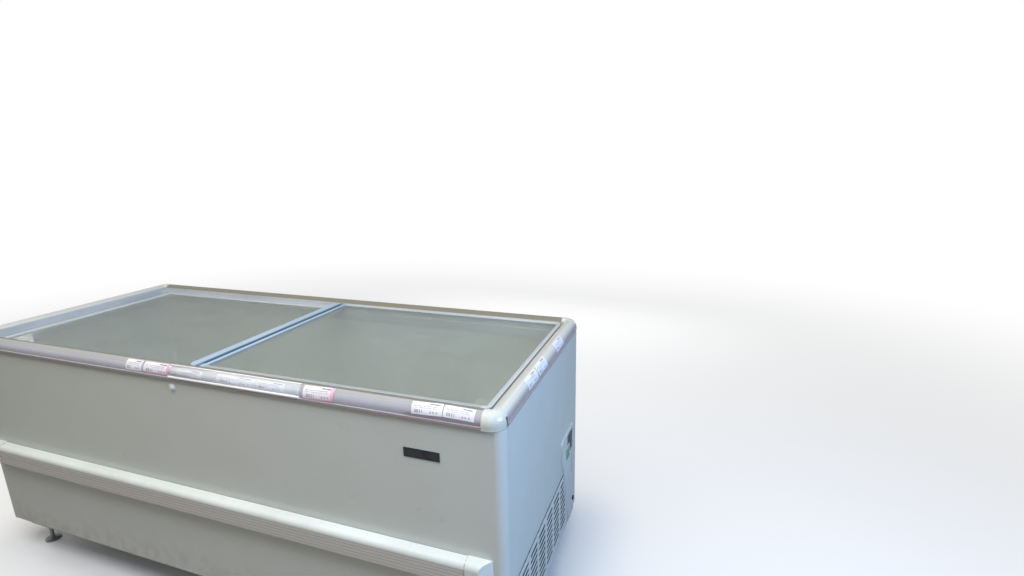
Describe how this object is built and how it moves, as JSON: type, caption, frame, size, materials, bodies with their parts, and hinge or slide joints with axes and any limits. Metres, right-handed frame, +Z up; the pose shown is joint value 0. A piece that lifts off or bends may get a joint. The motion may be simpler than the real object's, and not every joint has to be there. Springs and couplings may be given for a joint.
{
  "type": "island chest freezer",
  "caption": "White island chest freezer with a deep insulated well, sliding glass lids, rounded price rails, side bumpers and a vented machine end.",
  "frame": {"origin": "on the floor, under the middle of the cabinet", "axes": "+X along the length towards the machine end, -Y out of the front, +Z up"},
  "size_m": [1.97, 0.8116, 0.8335],
  "materials": {
    "foot_steel": "zinc plated",
    "base_steel": "dark grey paint",
    "painted_sheet": "white powder coat",
    "foam": "cast polyurethane foam",
    "liner_sheet": "pale grey coat",
    "track_plastic": "satin extrusion",
    "price_rail": "satin silver grey",
    "cap_plastic": "glossy ivory",
    "bumper_plastic": "satin pale grey",
    "bumper_cap_plastic": "satin pale grey",
    "grille_plastic": "moulded white",
    "housing_plastic": "moulded white",
    "display_window": "dark glossy window",
    "switch_rocker": "glossy green",
    "gland_rubber": "black rubber",
    "plate_black": "glossy black",
    "plug_white": "glossy white",
    "lid_frame": "glossy pale white",
    "lid_glass": "clear tempered glass"
  },
  "bodies": {
    "cabinet": {"feet": "foot_steel", "base_rails": "base_steel", "base_pan": "base_steel", "front_panel": "painted_sheet", "back_panel": "painted_sheet", "left_end_panel": "painted_sheet", "right_end_panel": "painted_sheet", "insulation": "foam", "liner": "liner_sheet", "front_track": "track_plastic", "back_track": "track_plastic", "left_sill": "track_plastic", "right_sill": "track_plastic", "front_rail": "price_rail", "back_rail": "price_rail", "left_rail": "price_rail", "right_rail": "price_rail", "front_left_cap": "cap_plastic", "front_right_cap": "cap_plastic", "back_left_cap": "cap_plastic", "back_right_cap": "cap_plastic", "front_bumper": "bumper_plastic", "back_bumper": "bumper_plastic", "front_bumper_ends": "bumper_cap_plastic", "back_bumper_ends": "bumper_cap_plastic", "vent_grille": "grille_plastic", "control_housing": "housing_plastic", "display": "display_window", "power_switch": "switch_rocker", "cable_gland": "gland_rubber", "front_plate": "plate_black", "front_plug": "plug_white"},
    "left_lid": {"left_lid_glass": "lid_glass", "left_lid_front_rail": "lid_frame", "left_lid_back_rail": "lid_frame", "left_lid_end_bar": "lid_frame", "left_lid_meeting_bar": "lid_frame"},
    "right_lid": {"right_lid_glass": "lid_glass", "right_lid_front_rail": "lid_frame", "right_lid_back_rail": "lid_frame", "right_lid_end_bar": "lid_frame", "right_lid_meeting_bar": "lid_frame"}
  },
  "joints": [
    {"name": "left_lid_slide", "type": "slide", "parent": "cabinet", "child": "left_lid", "axis": [1, 0, 0], "range_m": [-0.05, 0.88]},
    {"name": "right_lid_slide", "type": "slide", "parent": "cabinet", "child": "right_lid", "axis": [1, 0, 0], "range_m": [-0.932, 0]}
  ]
}
